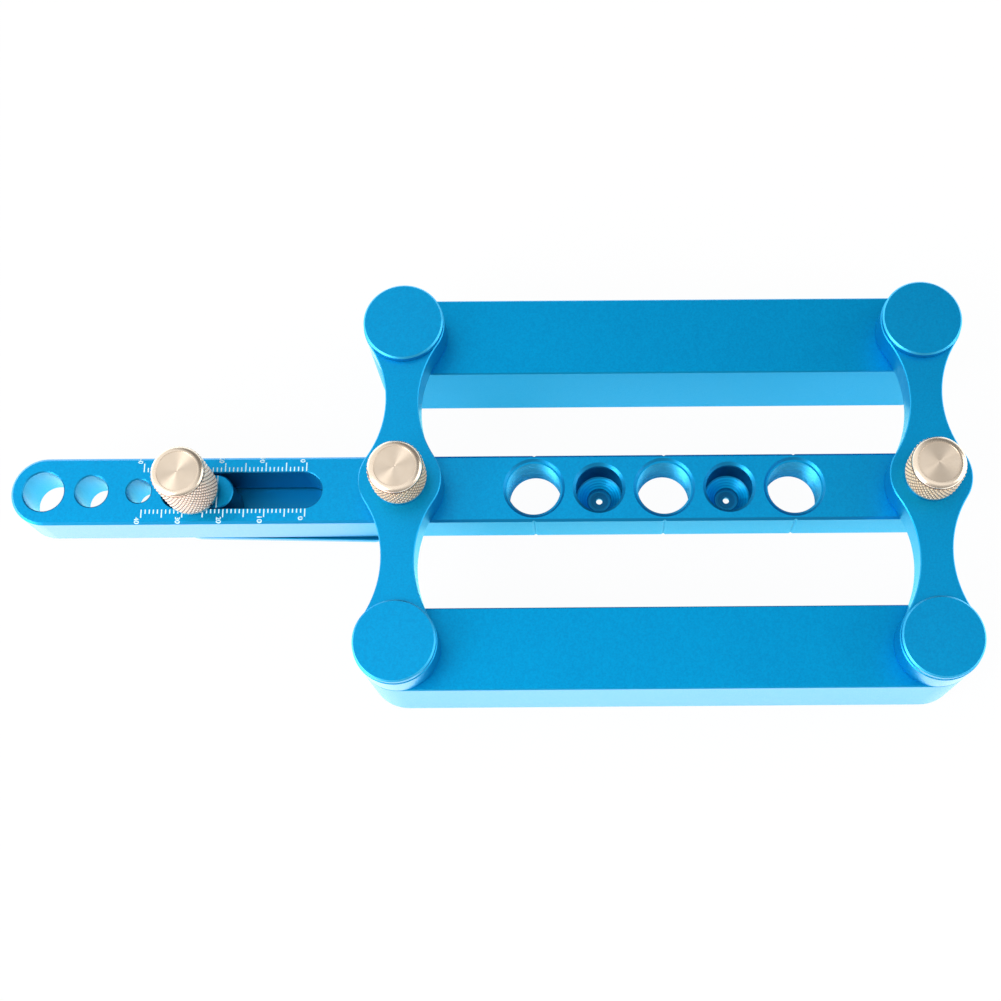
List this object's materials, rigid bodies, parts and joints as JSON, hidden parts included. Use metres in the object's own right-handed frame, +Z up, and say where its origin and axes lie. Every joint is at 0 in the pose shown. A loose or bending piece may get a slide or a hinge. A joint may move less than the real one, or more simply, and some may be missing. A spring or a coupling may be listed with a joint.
{
  "type": "self-centering doweling jig",
  "caption": "Self-centering doweling jig: a slotted guide bar on parallel links between clamping jaws, with brass clamp knobs, a sliding stop and drill guide holes.",
  "frame": {"origin": "on the middle guide hole's axis, at the underside of the centre bar", "axes": "+X along the bar, away from the scale end; +Y across the bar to the rear jaw; +Z up through the guide holes"},
  "size_m": [0.2344, 0.1, 0.0435],
  "materials": {
    "blue_anodised": "satin blue anodised",
    "brass": "turned and knurled, pale gold",
    "steel": "zinc plated"
  },
  "bodies": {
    "bar": {"center_bar": "blue_anodised", "pivot_bolt_left": "steel", "pivot_bolt_right": "steel"},
    "link_left": {"link_left": "blue_anodised", "thrust_washer_left": "steel"},
    "link_right": {"link_right": "blue_anodised", "thrust_washer_right": "steel"},
    "knob_left": {"knob_left": "brass"},
    "knob_right": {"knob_right": "brass"},
    "slider": {"slider_block": "blue_anodised", "slider_screw": "steel", "thrust_washer_slider": "steel"},
    "knob_slider": {"knob_slider": "brass"},
    "stop_arm": {"stop_arm": "blue_anodised"},
    "jaw_front": {"jaw_front": "blue_anodised", "pin_front_left": "blue_anodised", "jaw_screw_front_left": "steel", "jaw_washer_front_left": "steel", "pin_front_right": "blue_anodised", "jaw_screw_front_right": "steel", "jaw_washer_front_right": "steel"},
    "jaw_rear": {"jaw_rear": "blue_anodised", "pin_rear_left": "blue_anodised", "jaw_screw_rear_left": "steel", "jaw_washer_rear_left": "steel", "pin_rear_right": "blue_anodised", "jaw_screw_rear_right": "steel", "jaw_washer_rear_right": "steel"}
  },
  "joints": [
    {"name": "left_link_pivot", "type": "hinge", "parent": "bar", "child": "link_left", "pos_m": [-0.064, 0, 0.017], "axis": [0, 0, 1], "range_deg": [-60, 60]},
    {"name": "right_link_pivot", "type": "hinge", "parent": "bar", "child": "link_right", "pos_m": [0.064, 0, 0.017], "axis": [0, 0, 1], "range_deg": [-60, 60]},
    {"name": "rear_jaw_pivot", "type": "hinge", "parent": "link_left", "child": "jaw_rear", "pos_m": [-0.064, 0.04, 0.017], "axis": [0, 0, 1], "range_deg": [-60, 60]},
    {"name": "front_jaw_pivot", "type": "hinge", "parent": "link_left", "child": "jaw_front", "pos_m": [-0.064, -0.04, 0.017], "axis": [0, 0, 1], "range_deg": [-60, 60]},
    {"name": "left_knob_turn", "type": "hinge", "parent": "bar", "child": "knob_left", "pos_m": [-0.064, 0, 0.026], "axis": [0, 0, 1], "continuous": true},
    {"name": "right_knob_turn", "type": "hinge", "parent": "bar", "child": "knob_right", "pos_m": [0.064, 0, 0.026], "axis": [0, 0, 1], "continuous": true},
    {"name": "slider_travel", "type": "slide", "parent": "bar", "child": "slider", "axis": [1, 0, 0], "range_m": [-0.0031, 0.0217]},
    {"name": "slider_knob_turn", "type": "hinge", "parent": "slider", "child": "knob_slider", "pos_m": [-0.1157, 0, 0.02], "axis": [0, 0, 1], "continuous": true},
    {"name": "stop_arm_swivel", "type": "hinge", "parent": "slider", "child": "stop_arm", "pos_m": [-0.1157, 0, -0.0017], "axis": [0, 0, 1], "range_deg": [-0.5, 3.2]}
  ],
  "couplings": [
    {"joint": "right_link_pivot", "follows": "left_link_pivot", "ratio": 1},
    {"joint": "rear_jaw_pivot", "follows": "left_link_pivot", "ratio": -1},
    {"joint": "front_jaw_pivot", "follows": "left_link_pivot", "ratio": -1}
  ]
}
